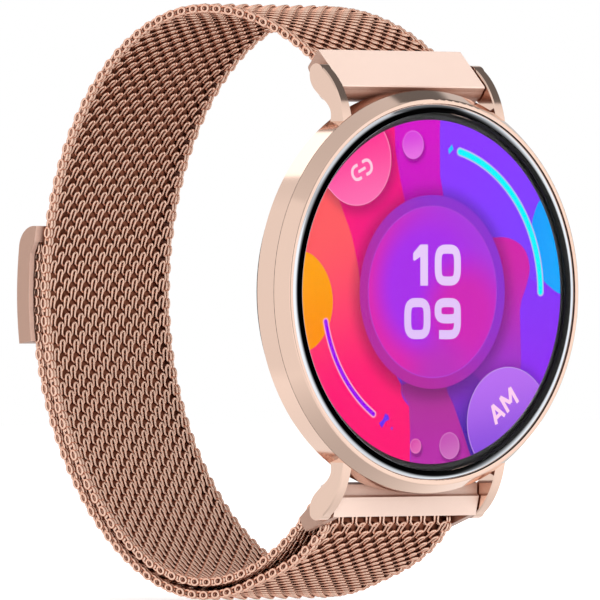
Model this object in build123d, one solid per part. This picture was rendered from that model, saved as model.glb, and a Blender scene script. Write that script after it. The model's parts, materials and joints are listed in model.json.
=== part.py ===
from build123d import *
import math
import os

os.makedirs("parts", exist_ok=True)

# Round smartwatch on a woven metal band that threads through a slotted ring and holds to itself by a magnet.
# Origin: centre of the sensor window's outer face, where the watch rests on the wrist.
# +X to 3 o'clock, +Z to 12 o'clock, the display faces -Y and the band loops round towards +Y. Millimetres.

# ---- case -------------------------------------------------------------------------------------------
case_depth = 10.0          # bezel's front edge to the sensor window's face
front_y = -case_depth
case_r = 21.4
bezel_bore_r = 20.05
bezel_edge_r = 20.5        # the bezel slopes in from the case's radius to this
bezel_seam = front_y + 1.5  # the bezel ring ends and the middle case begins
seam_gap = 0.06
mid_back = front_y + 4.44
cavity_r = 19.3
glass_r = 19.95
glass_proud = 0.4
glass_back = front_y + 1.1
glass_flat_r = 17.9        # the glass curves down outside this
display_r = 18.6
display_gap = 0.12         # between the glass and the panel
display_back = glass_back + 1.2
seal_in_r = 18.95
back_r = 19.6
back_floor = -2.1          # inner face of the case back
screw_seat = -2.4          # where the back screws' heads bear
screw_circle = 15.4
screw_angles = (35, 145, 215, 325)
window_r = 8.6
window_depth = 1.3
contact_x = (-2.0, 2.0)    # the two charging contacts
contact_z = -12.4
contact_r = 0.9
frame_floor = front_y + 3.9
frame_r = 17.8
board_r = 16.3

# ---- side button ------------------------------------------------------------------------------------
button_y = front_y + 3.0
button_long = 7.0
button_wide = 1.9
button_reach = case_r + 0.95
button_cap_deep = 1.5
button_travel = 0.4
pocket_floor = button_reach - button_cap_deep - button_travel - 0.1
stem_r = 0.45
stem_in = 16.9             # the stem's inner end
clip_r = 0.66
clip_x = (17.7, 18.0)
seal_t = 0.055
seal_x = (19.5, 19.9)

# ---- lugs and spring bars ---------------------------------------------------------------------------
lug_gap_half = 10.25       # a 20 mm band fits between the lugs
lug_thick = 1.25
pivot_y = front_y + 5.7
pivot_z = 22.3
relief_r = 2.45            # groove in the case that the band ends turn in
knuckle_r = 2.12           # the band ends' round backs, inside the groove
bar_tube_r = 0.75
bar_tube_half = 9.3
tip_r = 0.42
tip_hole_r = 0.47
tip_end = 10.9
bar_bore_r = 0.80
lever_x = 7.0
spring_turns = 14

# ---- band -------------------------------------------------------------------------------------------
mesh_half = 9.0            # the mesh is 18 mm wide
mesh_t = 1.15
loop_y = front_y + 28.0    # centre of the loop
loop_z = -0.35
loop_high = 30.8           # half height of the loop's centre line
loop_back = 26.4           # half depth behind the centre
loop_front = 32.0          # half depth of the upper front quarter, which is flatter
loop_flat = 0.02           # how much flatter the lower back quarter is
band_start = -36.9         # loop angles in degrees, 0 at 12 o'clock, 90 at the back
upper_flex = 45.0
lower_flex = 135.0
fold_at = 222.0
tail_peel = 112.0
tail_end = 80.0
flex_gap = 0.36            # space between mesh stretches of two bodies
tail_lift = 1.40           # the tail's centre line outside the main layer's
rear_bar_r = 0.6
fold_clear = 0.3
fold_r = rear_bar_r + fold_clear + mesh_t / 2
end_half = 10.1            # the band's end pieces fit between the lugs with clearance

# ---- magnetic tab -----------------------------------------------------------------------------------
tab_low = 99.0             # loop angles of the tab's plain end, its bend, and its rolled end
tab_bend = 81.2
tab_lip = 79.4
tab_high = 76.2
tab_t = 1.4
tab_half = 9.75
tab_rim_in = 9.12          # inside of the rims beside the mesh
tab_clear = 0.9            # the rolled end's lift above the main layer
magnet_x = (-6.2, 0, 6.2)
magnet_half = 2.8


# ---- helpers ----------------------------------------------------------------------------------------
def lathe(points):
    """Solid of revolution about the case's axis from (radius, y) points."""
    return revolve(make_face(Polyline(*points, close=True)), axis=Axis.Y)


def disc(radius, y0, y1, x=0, z=0):
    return Pos(x, (y0 + y1) / 2, z) * Rot(90, 0, 0) * Cylinder(radius, y1 - y0)


def ring(outer, inner, y0, y1):
    return disc(outer, y0, y1) - disc(inner, y0 - 1, y1 + 1)


def cross_rod(radius, x0, x1, y, z):
    return Pos((x0 + x1) / 2, y, z) * Rot(0, 90, 0) * Cylinder(radius, x1 - x0)


def block(x0, x1, y0, y1, z0, z1):
    return Pos((x0 + x1) / 2, (y0 + y1) / 2, (z0 + z1) / 2) * Box(x1 - x0, y1 - y0, z1 - z0)


def side_plate(outline, x0, x1):
    """Outline in (y, z), extruded across the watch from x0 to x1."""
    return extrude(Plane.YZ.offset(x0) * make_face(outline), x1 - x0)


def band_point(angle, lift=0.0):
    """Point (y, z) on the band's centre line at a loop angle, moved outwards by lift."""
    a = math.radians(angle)
    deep = loop_front if angle < 0 else loop_back
    flat = 1 - loop_flat * math.sin(2 * a) ** 2 if 90 < angle < 180 else 1.0
    ny = math.sin(a) / deep
    nz = math.cos(a) / loop_high
    n = math.hypot(ny, nz)
    return (loop_y + flat * deep * math.sin(a) + lift * ny / n,
            loop_z + flat * loop_high * math.cos(a) + lift * nz / n)


def tail_at(angle):
    """The tail's lift: it closes up on the main layer away from the fold."""
    t = min(max((angle - 196) / (fold_at - 196), 0), 1)
    return tail_lift + (2 * fold_r - tail_lift) * t * t * (3 - 2 * t)


def strip(start, end, lift):
    """A stretch of mesh between two loop angles; lift is a function of the angle."""
    count = max(4, round(abs(end - start) / 8))
    angles = [start + (end - start) * i / count for i in range(count + 1)]
    outer = [band_point(a, lift(a) + mesh_t / 2) for a in angles]
    inner = [band_point(a, lift(a) - mesh_t / 2) for a in reversed(angles)]
    outline = Spline(*outer) + Line(outer[-1], inner[0]) + Spline(*inner) + Line(inner[-1], outer[0])
    return side_plate(outline, -mesh_half, mesh_half)


def flex_half(angle):
    """Half of flex_gap as a loop angle."""
    y0, z0 = band_point(angle - 1)
    y1, z1 = band_point(angle + 1)
    return flex_gap / math.hypot(y1 - y0, z1 - z0)


def on_circle(radius, angles):
    return [(radius * math.cos(math.radians(a)), radius * math.sin(math.radians(a))) for a in angles]


def save(node, *solids):
    shape = Compound(children=list(solids)) if len(solids) > 1 else solids[0]
    export_step(shape, f"parts/{node}.step")


# ---- case shells ------------------------------------------------------------------------------------
screw_places = on_circle(screw_circle, screw_angles)


def make_bezel():
    seat = glass_back + 0.12
    hole = seal_in_r - 0.05
    outline = (Line((bezel_bore_r, front_y), (bezel_bore_r, seat))
               + Line((bezel_bore_r, seat), (hole, seat))
               + Line((hole, seat), (hole, bezel_seam))
               + Line((hole, bezel_seam), (case_r, bezel_seam))
               + Line((case_r, bezel_seam), (bezel_edge_r + 0.06, front_y + 0.12))
               + ThreePointArc((bezel_edge_r + 0.06, front_y + 0.12), (bezel_edge_r - 0.02, front_y + 0.03),
                               (bezel_edge_r - 0.14, front_y))
               + Line((bezel_edge_r - 0.14, front_y), (bezel_bore_r, front_y)))
    return revolve(make_face(outline), axis=Axis.Y)


def lug_outline(side):
    """One lug seen from the side: it sweeps out and back from the case to a rounded tip."""
    root = 17.5 * side
    front = Spline((front_y + 1.6, 18.0 * side), (front_y + 2.2, 20.1 * side), (front_y + 3.5, 22.3 * side),
                   (front_y + 5.2, 23.8 * side))
    tip = ThreePointArc((front_y + 5.2, 23.8 * side), (front_y + 6.8, 24.0 * side),
                        (front_y + 7.3, 23.2 * side))
    rear = Spline((front_y + 7.3, 23.2 * side), (front_y + 6.7, 21.6 * side), (front_y + 5.0, 20.3 * side),
                  (front_y + 4.0, 19.3 * side), (mid_back - 0.5, 18.2 * side))
    base = Polyline((mid_back - 0.5, 18.2 * side), (mid_back - 0.5, root), (front_y + 1.6, root),
                    (front_y + 1.6, 18.0 * side))
    return front + tip + rear + base


def make_mid_case():
    body = ring(case_r, cavity_r, bezel_seam + seam_gap, mid_back)
    back_edges = body.edges().filter_by(GeomType.CIRCLE).group_by(Axis.Y)[-1]
    body = chamfer(back_edges.sort_by(Edge.radius)[-1], 0.25)
    lug_x = [(lug_gap_half, lug_gap_half + lug_thick), (-lug_gap_half - lug_thick, -lug_gap_half)]
    for side in (1, -1):
        for x0, x1 in lug_x:
            plate = side_plate(lug_outline(side), x0, x1)
            plate = chamfer(plate.edges().filter_by(Plane.YZ).filter_by(GeomType.BSPLINE), 0.13)
            body += plate
        body -= cross_rod(relief_r, -lug_gap_half, lug_gap_half, pivot_y, side * pivot_z)
        body -= cross_rod(tip_hole_r, -tip_end - 0.1, tip_end + 0.1, pivot_y, side * pivot_z)
    body -= button_shape(pocket_floor, case_r + 2, 0.1)
    body -= cross_rod(stem_r + 0.06, cavity_r - 1, case_r, button_y, 0)
    return body


def make_case_back():
    outer = [(0, -0.7), (window_r + 0.9, -0.7), (17.2, -2.0), (back_r, -3.6), (back_r, mid_back + 0.05),
             (cavity_r - 0.4, mid_back + 0.05), (cavity_r - 0.4, mid_back - 0.8)]
    inner = [(17.9, mid_back - 0.8), (17.9, -3.9), (16.6, back_floor - 0.9), (9.0, back_floor),
             (0, back_floor)]
    body = lathe(outer + inner)
    body -= disc(window_r + 0.05, -window_depth - 0.02, 1)
    body -= disc(window_r - 1.2, -4, 1)
    for x in contact_x:
        body -= disc(contact_r + 0.03, -4, 1, x, contact_z)
    for x, z in screw_places:
        body -= disc(0.75, -6, 0, x, z)
        body -= disc(1.25, screw_seat, 0, x, z)
    return body


def make_glass():
    shoulder = front_y - glass_proud
    outline = (Line((0, glass_back), (0, shoulder)) + Line((0, shoulder), (glass_flat_r, shoulder))
               + ThreePointArc((glass_flat_r, shoulder), (19.1, shoulder + 0.12), (glass_r, front_y + 0.15))
               + Line((glass_r, front_y + 0.15), (glass_r, glass_back))
               + Line((glass_r, glass_back), (0, glass_back)))
    return revolve(make_face(outline), axis=Axis.Y)


def button_shape(x0, x1, grow):
    """A round-ended bar along the case's side."""
    r = button_wide / 2 + grow
    half = button_long / 2 - button_wide / 2
    ends = cross_rod(r, x0, x1, button_y, half) + cross_rod(r, x0, x1, button_y, -half)
    return ends + block(x0, x1, button_y - r, button_y + r, -half, half)


def make_button():
    cap = button_shape(button_reach - button_cap_deep, button_reach, 0)
    cap = fillet(cap.faces().sort_by(Axis.X)[-1].edges(), 0.3)
    stem = cross_rod(stem_r, stem_in, button_reach - button_cap_deep, button_y, 0)
    return cap + stem


# ---- inside the case --------------------------------------------------------------------------------
def make_inner_frame():
    frame = ring(frame_r, frame_r - 1.2, display_back + 0.05, frame_floor + 0.4)
    frame += disc(17.0, frame_floor, frame_floor + 0.4)
    for x, z in screw_places:
        frame += disc(1.0, frame_floor, back_floor - 1.05, x, z)
        frame -= disc(0.55, frame_floor - 1, 0, x, z)
    frame -= block(14.4, 19, frame_floor - 3, 0, -2.6, 2.6)
    frame -= block(-3, 3, frame_floor - 3, 0, 11.5, 19)
    return frame


def make_electronics():
    board_y = display_back + 0.25
    board = disc(board_r, board_y, board_y + 0.7) - block(13.2, 19, board_y - 1, board_y + 2, -3.2, 3.2)
    board -= block(-3.4, 3.4, board_y - 1, board_y + 2, 11.2, 17)
    save("main_board", board)
    top = board_y + 0.7
    save("board_chips", block(-9, -2, top, top + 0.6, -4, 3), block(1, 7, top, top + 0.6, 2, 8),
         block(2, 6, top, top + 0.5, -9, -5), block(-8, -5, top, top + 0.5, 6, 9))
    save("battery", block(-11.2, 11.2, frame_floor + 0.55, back_floor - 1.05, -8.0, 10.0))
    save("battery_pad", block(-10, 10, frame_floor + 0.4, frame_floor + 0.55, -7, 9))
    save("vibration_motor", disc(2.6, frame_floor + 0.4, frame_floor + 3.1, -1.0, -12.9))
    antenna = ring(frame_r + 0.15, frame_r + 0.02, display_back + 0.3, display_back + 1.0)
    save("antenna_strip", antenna - block(-20, 20, front_y, 0, -20, 4))
    flex = block(-2.5, 2.5, display_back, display_back + 0.15, 12.0, 17.0)
    flex += block(-2.5, 2.5, display_back, board_y + 2.0, 12.0, 12.15)
    save("display_flex", flex)
    save("sensor_board", disc(window_r - 1.5, back_floor - 0.75, back_floor - 0.1))
    leds = [block(x - 0.6, x + 0.6, back_floor - 0.1, back_floor + 0.55, z - 0.6, z + 0.6)
            for x, z in ((0, 0), (-2.6, 0), (2.6, 0), (0, 2.8), (0, -2.8))]
    save("sensor_leds", *leds)
    save("sensor_window", lathe([(0, -window_depth), (window_r, -window_depth), (window_r, -0.55),
                                 (window_r - 1.4, 0), (0, 0)]))
    save("charge_contacts", *[disc(contact_r, -3.0, -1.0, x, contact_z) for x in contact_x])
    screws = [disc(0.5, frame_floor + 0.6, screw_seat, x, z) + disc(1.1, screw_seat, screw_seat + 0.45, x, z)
              - block(x - 0.9, x + 0.9, screw_seat + 0.25, 0, z - 0.12, z + 0.12) for x, z in screw_places]
    save("back_screws", *screws)


# ---- spring bars ------------------------------------------------------------------------------------
def spring_bar(name, z):
    """Tube, fixed tip, sprung tip with its release lever, and the spring between the tips."""
    inner_r = 0.5
    slot = block(lever_x - 2.0, lever_x + 0.5, pivot_y, pivot_y + 2, z - 0.42, z + 0.42)
    tube = cross_rod(bar_tube_r, -bar_tube_half, bar_tube_half, pivot_y, z)
    tube -= cross_rod(inner_r, -bar_tube_half + 1.6, bar_tube_half + 1, pivot_y, z)
    tube -= cross_rod(tip_r + 0.002, -bar_tube_half - 1, -bar_tube_half + 2, pivot_y, z)
    save(f"{name}_bar_tube", tube - slot)
    save(f"{name}_bar_fixed_tip", cross_rod(tip_r, -tip_end, -bar_tube_half + 1.6, pivot_y, z))
    plunger = cross_rod(tip_r, lever_x - 1.0, tip_end, pivot_y, z)
    lever = Pos(lever_x, pivot_y + 0.95, z) * Rot(90, 0, 0) * Cylinder(0.34, 1.7)
    save(f"{name}_bar_plunger", plunger + lever)
    start = -bar_tube_half + 1.75
    pitch = (lever_x - 1.0 - start) / spring_turns
    coil = [Pos(start + pitch * (i + 0.5), pivot_y, z) * Rot(0, 90, 0) * Torus(0.32, 0.09)
            for i in range(spring_turns)]
    save(f"{name}_bar_spring", *coil)


# ---- band end pieces --------------------------------------------------------------------------------
def knuckle(side, back, front):
    """Arc about the spring bar's axis, next to the case, between two offsets from the axis in y."""
    rise = [math.sqrt(knuckle_r ** 2 - offset ** 2) for offset in (back, front)]
    return ThreePointArc((pivot_y + back, side * (pivot_z - rise[0])),
                         (pivot_y, side * (pivot_z - knuckle_r)),
                         (pivot_y + front, side * (pivot_z - rise[1])))


def make_upper_connector():
    """Sloping plate on the spring bar; its back edge holds the mesh and its round back turns in the case."""
    chin = (front_y + 3.4, 21.85)
    crest = (front_y + 7.4, 25.72)
    heel = (front_y + 9.1, 23.85)
    back = knuckle(1, 1.85, -1.9)
    outline = (Line(chin, crest) + Line(crest, heel) + Line(heel, back @ 0) + back + Line(back @ 1, chin))
    plate = side_plate(outline, -end_half, end_half)
    rear_edges = plate.edges().filter_by(Axis.X).group_by(Axis.Y)[-1]
    plate = fillet(rear_edges, 0.3)
    chin_edge = plate.edges().filter_by(Axis.X).sort_by(Axis.Y)[0]
    plate = chamfer(chin_edge, 0.12)
    plate -= cross_rod(bar_bore_r, -end_half - 1, end_half + 1, pivot_y, pivot_z)
    return plate - block(lever_x - 2.2, end_half + 1, pivot_y, pivot_y + 4, pivot_z - 3, pivot_z + 0.55)


def make_lower_ring():
    """Slotted ring: front bar on the spring bar, two side plates and the rear bar the mesh folds round."""
    qy, qz = rear_bar_centre()
    foot = -pivot_z - 1.57
    back = knuckle(-1, 1.35, -1.0)
    outline = (Polyline((pivot_y - 1.0, (back @ 1).Y), (pivot_y - 1.0, 0.65 - pivot_z),
                        (pivot_y - 1.16, 0.65 - pivot_z), (pivot_y - 1.3, 0.5 - pivot_z),
                        (pivot_y - 0.75, foot), (pivot_y + 1.1, foot), (pivot_y + 1.35, foot + 0.4),
                        (pivot_y + 1.35, (back @ 0).Y)) + back)
    body = side_plate(outline, -end_half, end_half)
    cheek = Polyline((pivot_y - 0.9, 0.4 - pivot_z), (pivot_y + 1.3, 1 - pivot_z), (qy + 1.25, qz + 0.2),
                     (qy + 0.2, qz - 1.15), (pivot_y - 0.75, foot), close=True)
    for x0, x1 in ((mesh_half + 0.22, end_half), (-end_half, -mesh_half - 0.22)):
        plate = side_plate(cheek, x0, x1)
        body += fillet(plate.edges().filter_by(Axis.X).group_by(Axis.Y)[-1], 0.4)
    body += cross_rod(rear_bar_r, -end_half, end_half, qy, qz)
    body -= cross_rod(bar_bore_r, -end_half - 1, end_half + 1, pivot_y, -pivot_z)
    return body - block(lever_x - 2.2, end_half + 1, pivot_y, pivot_y + 2.5, -pivot_z - 0.55, 2.2 - pivot_z)


def rear_bar_centre():
    return band_point(fold_at, fold_r)


# ---- woven mesh stretches ---------------------------------------------------------------------------
def make_fold():
    """Half turn of mesh round the ring's rear bar."""
    qy, qz = rear_bar_centre()
    iy, iz = band_point(fold_at)
    start = math.degrees(math.atan2(iz - qz, iy - qy))
    outer = CenterArc((qy, qz), fold_r + mesh_t / 2, start, 180)
    inner = CenterArc((qy, qz), fold_r - mesh_t / 2, start, 180)
    outline = outer + Line(outer @ 1, inner @ 1) + inner + Line(inner @ 0, outer @ 0)
    return side_plate(outline, -mesh_half, mesh_half)


def on_main(angle):
    return 0.0


def make_mesh():
    up = flex_half(upper_flex)
    low = flex_half(lower_flex)
    peel = flex_half(tail_peel)
    save("upper_mesh", strip(band_start + 0.2, upper_flex - up, on_main))
    save("back_mesh", strip(upper_flex + up, lower_flex - low, on_main))
    save("lower_mesh", strip(lower_flex + low, fold_at, on_main))
    save("fold_mesh", make_fold())
    save("lower_tail_mesh", strip(fold_at, lower_flex + low, tail_at))
    save("tail_mesh", strip(lower_flex - low, tail_peel + peel, tail_at))
    save("tail_end_mesh", strip(tail_peel - peel, tail_end, tail_at))


# ---- magnetic tab -----------------------------------------------------------------------------------
def along(start, end, lift, count=4):
    return Spline(*[band_point(start + (end - start) * i / count, lift) for i in range(count + 1)])


def layer(low, high, inner, outer):
    """Band-shaped outline between two loop angles and two lifts."""
    far = along(low, high, outer)
    near = along(high, low, inner)
    return far + Line(far @ 1, near @ 0) + near + Line(near @ 1, far @ 0)


def make_tab():
    """Plate over the tail's end, rolled over at the top, with rims beside the mesh and magnets inside."""
    base = tail_lift + mesh_t / 2 + 0.02
    top = base + tab_t
    plain = along(tab_low, tab_bend, top)
    roll = ThreePointArc(plain @ 1, band_point(tab_bend - (tab_bend - tab_high) * 0.71,
                                               tab_clear + (top - tab_clear) * 0.71),
                         band_point(tab_high, tab_clear))
    lip = Polyline(roll @ 1, band_point(tab_lip, tab_clear), band_point(tab_lip, base))
    under = along(tab_lip, tab_low, base)
    shell = side_plate(plain + roll + lip + under + Line(under @ 1, plain @ 0), -tab_half, tab_half)
    rim_low = along(tab_low, tab_lip + 2.4, base - 0.6)
    lip_out, lip_in = band_point(tab_lip, tab_clear), band_point(tab_lip, base)
    rim = rim_low + Line(rim_low @ 1, lip_out) + Line(lip_out, lip_in) + under + Line(under @ 1, rim_low @ 0)
    shell += side_plate(rim, tab_rim_in, tab_half)
    shell += side_plate(rim, -tab_half, -tab_rim_in)
    magnets = []
    pocket = layer(97, 81.5, base - 0.01, base + 0.8)
    magnet = layer(96.8, 81.7, base + 0.02, base + 0.78)
    for x in magnet_x:
        shell -= side_plate(pocket, x - magnet_half - 0.1, x + magnet_half + 0.1)
        magnets.append(side_plate(magnet, x - magnet_half, x + magnet_half))
    save("tab_shell", shell)
    save("tab_magnets", *magnets)


# ---- build ------------------------------------------------------------------------------------------
save("bezel_ring", make_bezel())
save("mid_case", make_mid_case())
save("case_back", make_case_back())
save("cover_glass", make_glass())
save("glass_seal", ring(19.9, seal_in_r, glass_back, glass_back + 0.1))
save("display_panel", disc(display_r, glass_back + display_gap, display_back))
save("back_seal", ring(cavity_r - 0.02, cavity_r - 0.38, mid_back - 0.7, mid_back - 0.1))
save("inner_frame", make_inner_frame())
make_electronics()
save("side_button", make_button())
save("button_clip", cross_rod(clip_r, *clip_x, button_y, 0) - cross_rod(stem_r, 0, case_r, button_y, 0))
save("button_seal",
     cross_rod(stem_r + seal_t, *seal_x, button_y, 0) - cross_rod(stem_r, 0, case_r, button_y, 0))
save("button_switch", block(15.2, 16.4, button_y - 0.5, button_y + 0.9, -1.2, 1.2))
spring_bar("upper", pivot_z)
spring_bar("lower", -pivot_z)
save("upper_connector", make_upper_connector())
save("lower_ring", make_lower_ring())
make_mesh()
make_tab()
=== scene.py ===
import json
import math
import bmesh
import bpy
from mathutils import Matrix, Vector


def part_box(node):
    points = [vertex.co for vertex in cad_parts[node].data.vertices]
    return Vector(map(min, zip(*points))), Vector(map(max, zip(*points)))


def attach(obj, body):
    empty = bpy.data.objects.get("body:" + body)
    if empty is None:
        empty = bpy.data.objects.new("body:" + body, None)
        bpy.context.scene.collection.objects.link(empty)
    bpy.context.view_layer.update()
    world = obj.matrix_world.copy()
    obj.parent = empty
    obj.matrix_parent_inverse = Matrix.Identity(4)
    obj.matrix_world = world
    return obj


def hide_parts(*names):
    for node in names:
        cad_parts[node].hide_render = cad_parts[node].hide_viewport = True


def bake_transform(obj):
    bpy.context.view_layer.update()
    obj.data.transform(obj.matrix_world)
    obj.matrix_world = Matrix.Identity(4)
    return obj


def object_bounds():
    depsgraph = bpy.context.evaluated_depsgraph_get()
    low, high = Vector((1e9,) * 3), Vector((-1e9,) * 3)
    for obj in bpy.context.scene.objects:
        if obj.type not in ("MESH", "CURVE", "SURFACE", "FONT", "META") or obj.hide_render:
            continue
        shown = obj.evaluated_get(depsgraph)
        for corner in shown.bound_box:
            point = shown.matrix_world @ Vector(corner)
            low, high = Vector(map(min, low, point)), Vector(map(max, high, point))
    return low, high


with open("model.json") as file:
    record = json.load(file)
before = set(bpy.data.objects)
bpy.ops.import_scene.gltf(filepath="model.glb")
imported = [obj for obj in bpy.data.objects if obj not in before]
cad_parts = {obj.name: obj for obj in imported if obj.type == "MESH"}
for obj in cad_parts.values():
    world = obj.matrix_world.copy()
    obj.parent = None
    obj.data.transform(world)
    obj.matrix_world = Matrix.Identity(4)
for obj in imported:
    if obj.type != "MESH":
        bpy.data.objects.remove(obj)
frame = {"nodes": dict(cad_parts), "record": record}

cadBox = [list(corner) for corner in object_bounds()]
mm = 0.001
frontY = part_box("bezel_ring")[0].y      # the bezel's front edge
print("frame loaded:", len(frame["nodes"]), "nodes")


def makeNode(tree, kind, inputs=None, **settings):
    # one node, its settings, and its inputs as values or as sockets to link from
    node = tree.nodes.new(kind)
    for name, value in settings.items():
        setattr(node, name, value)
    for name, value in (inputs or {}).items():
        if isinstance(value, bpy.types.NodeSocket):
            tree.links.new(value, node.inputs[name])
        else:
            node.inputs[name].default_value = value
    return node


def mathNode(tree, operation, first, second=0.0, third=0.0):
    return makeNode(tree, "ShaderNodeMath", {0: first, 1: second, 2: third}, operation=operation).outputs[0]


def rampNode(tree, value, low, high, start=0.0, end=1.0, smooth=False):
    # start below low, end above high, and a ramp between them
    return makeNode(tree, "ShaderNodeMapRange", {"Value": value, "From Min": low, "From Max": high,
                                                 "To Min": start, "To Max": end},
                    interpolation_type="SMOOTHSTEP" if smooth else "LINEAR").outputs[0]


def mixColour(tree, factor, first, second):
    # colour sockets are found by type, because a Mix node has one set for each data type
    node = makeNode(tree, "ShaderNodeMix", {0: factor}, data_type="RGBA")
    for socket, value in zip([item for item in node.inputs if item.type == "RGBA"], (first, second)):
        if isinstance(value, bpy.types.NodeSocket):
            tree.links.new(value, socket)
        else:
            socket.default_value = (*value[:3], 1)
    return [item for item in node.outputs if item.type == "RGBA"][0]


def finishPiece(piece, body):
    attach(piece, body)


def pieceFromMesh(name, mesh, material, smooth=True):
    piece = bpy.data.objects.new(name, mesh)
    bpy.context.scene.collection.objects.link(piece)
    mesh.materials.append(material)
    for face in mesh.polygons:
        face.use_smooth = smooth
    return piece


shot = {"azimuth": -41.0, "distance": 1.35, "lens": 763.0, "aside": -0.0144, "lower": -0.00086}


def makeCamera():
    turn = math.radians(-shot["azimuth"])
    look = Vector((math.sin(turn), math.cos(turn), 0))
    right = Vector((math.cos(turn), -math.sin(turn), 0))
    aim = Vector((0, frontY, shot["lower"])) + right * shot["aside"]
    data = bpy.data.cameras.new("camera")
    data.lens = shot["lens"]
    data.clip_start = 0.05
    data.clip_end = 30
    camera = bpy.data.objects.new("camera", data)
    bpy.context.scene.collection.objects.link(camera)
    camera.location = aim - look * shot["distance"]
    camera.rotation_euler = look.to_track_quat("-Z", "Y").to_euler()
    bpy.context.scene.camera = camera


studio = {"strength": 1.25, "floorHalf": 1.5, "floorDrop": 0.0003, "floorGlow": 0.55,
          "fill": 5.4, "fillSize": 0.5, "fillAside": -0.15, "fillAhead": 0.55, "fillHigh": 0.60,
          "levels": ((0.0, 0.45), (0.20, 0.78), (0.40, 0.88), (0.50, 0.88),
                     (0.66, 0.84), (0.80, 0.62), (1.0, 0.50))}   # brightness from below to above
softBoxes = {   # name: direction, half width and height, edge, brightness; the dim ones are dark cards
    "backOverhead": ((0.0, 0.76, 0.645), (0.22, 0.13), 0.02, 1.35),
    "leftSide": ((-0.93, -0.37, 0.05), (0.22, 0.85), 0.12, 0.72),
    "rightOverhead": ((0.64, 0.02, 0.74), (0.62, 0.20), 0.06, 0.12),
    "frontFlag": ((0.18, -0.95, 0.25), (0.48, 0.38), 0.08, 0.42),
    "backLeft": ((-0.656, 0.755, 0.0), (0.35, 0.50), 0.15, 0.70),
    "farRight": ((0.80, 0.58, 0.12), (0.35, 0.45), 0.15, 0.50),
    "lugFlag": ((0.25, 0.72, 0.62), (0.07, 0.25), 0.02, 0.20),
    "rightStrip": ((0.995, -0.10, 0.0), (0.24, 0.60), 0.20, 0.76),
}


def makeSoftBox():
    # mask of a card seen from the middle of the scene, on a direction
    tree, given, out = newGroup("softBox", {
        "Facing": ("vector", (0.0, 1.0, 0.0)), "Right": ("vector", (1.0, 0.0, 0.0)),
        "Up": ("vector", (0.0, 0.0, 1.0)), "Half Width": ("value", 0.2), "Half Height": ("value", 0.2),
        "Edge": ("value", 0.05)}, {"Mask": "value"})
    place = makeNode(tree, "ShaderNodeTexCoord").outputs["Generated"]

    def along(axis):
        return makeNode(tree, "ShaderNodeVectorMath", {0: place, 1: given[axis]},
                        operation="DOT_PRODUCT").outputs["Value"]

    ahead = along("Facing")
    masks = []
    for axis, half in (("Right", "Half Width"), ("Up", "Half Height")):
        offset = mathNode(tree, "ABSOLUTE", mathNode(tree, "DIVIDE", along(axis), ahead))
        far = mathNode(tree, "ADD", given[half], given["Edge"])
        masks.append(rampNode(tree, offset, far, given[half], smooth=True))
    both = mathNode(tree, "MULTIPLY", masks[0], masks[1])
    front = mathNode(tree, "GREATER_THAN", ahead, 0.0)
    tree.links.new(mathNode(tree, "MULTIPLY", both, front), out.inputs["Mask"])
    return tree


def makeWorld():
    scene = bpy.context.scene
    scene.view_settings.view_transform = "Standard"
    world = bpy.data.worlds.new("studio")
    scene.world = world
    world.use_nodes = True
    tree = world.node_tree
    back = tree.nodes["Background"]
    place = makeNode(tree, "ShaderNodeTexCoord")
    split = makeNode(tree, "ShaderNodeSeparateXYZ", {0: place.outputs["Generated"]})
    height = mathNode(tree, "MULTIPLY_ADD", split.outputs["Z"], 0.5, 0.5)
    ramp = makeNode(tree, "ShaderNodeValToRGB", {0: height})
    while len(ramp.color_ramp.elements) < len(studio["levels"]):
        ramp.color_ramp.elements.new(0.5)
    for element, (position, level) in zip(ramp.color_ramp.elements, studio["levels"]):
        element.position = position
        element.color = (level, level, level, 1)
    light = ramp.outputs[0]
    boxGroup = makeSoftBox()
    for name, (facing, (wide, high), edge, level) in softBoxes.items():
        ahead = Vector(facing).normalized()
        right = ahead.cross(Vector((0, 0, 1))).normalized()
        box = placeGroup(tree, boxGroup, {"Facing": ahead, "Right": right, "Up": right.cross(ahead),
                                          "Half Width": wide, "Half Height": high, "Edge": edge})
        box.name = name
        light = mixColour(tree, box.outputs["Mask"], light, (level, level, level))
    tree.links.new(light, back.inputs["Color"])
    back.inputs["Strength"].default_value = studio["strength"]
    plain = makeNode(tree, "ShaderNodeBackground", {"Color": (1, 1, 1, 1), "Strength": 1.0})
    seen = makeNode(tree, "ShaderNodeLightPath").outputs["Is Camera Ray"]
    both = makeNode(tree, "ShaderNodeMixShader", {0: seen, 1: back.outputs[0], 2: plain.outputs[0]})
    tree.links.new(both.outputs[0], tree.nodes["World Output"].inputs["Surface"])


def makeFloor():
    mesh = bpy.data.meshes.new("floor")
    half = studio["floorHalf"]
    level = cadBox[0][2] - studio["floorDrop"]
    mesh.from_pydata([(-half, -half, level), (half, -half, level), (half, half, level), (-half, half, level)],
                     [], [(0, 1, 2, 3)])
    paper = plainMaterial("palePaper", (0.90, 0.90, 0.90), rough=0.9, emission=(1, 1, 1))
    floorShader = paper.node_tree.nodes["Principled BSDF"]
    floorShader.inputs["Specular IOR Level"].default_value = 0.0
    watched = makeNode(paper.node_tree, "ShaderNodeLightPath").outputs["Is Camera Ray"]
    glow = mathNode(paper.node_tree, "MULTIPLY", watched, studio["floorGlow"])
    paper.node_tree.links.new(glow, floorShader.inputs["Emission Strength"])
    floor = pieceFromMesh("floor", mesh, paper)
    floor.visible_glossy = False


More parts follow.
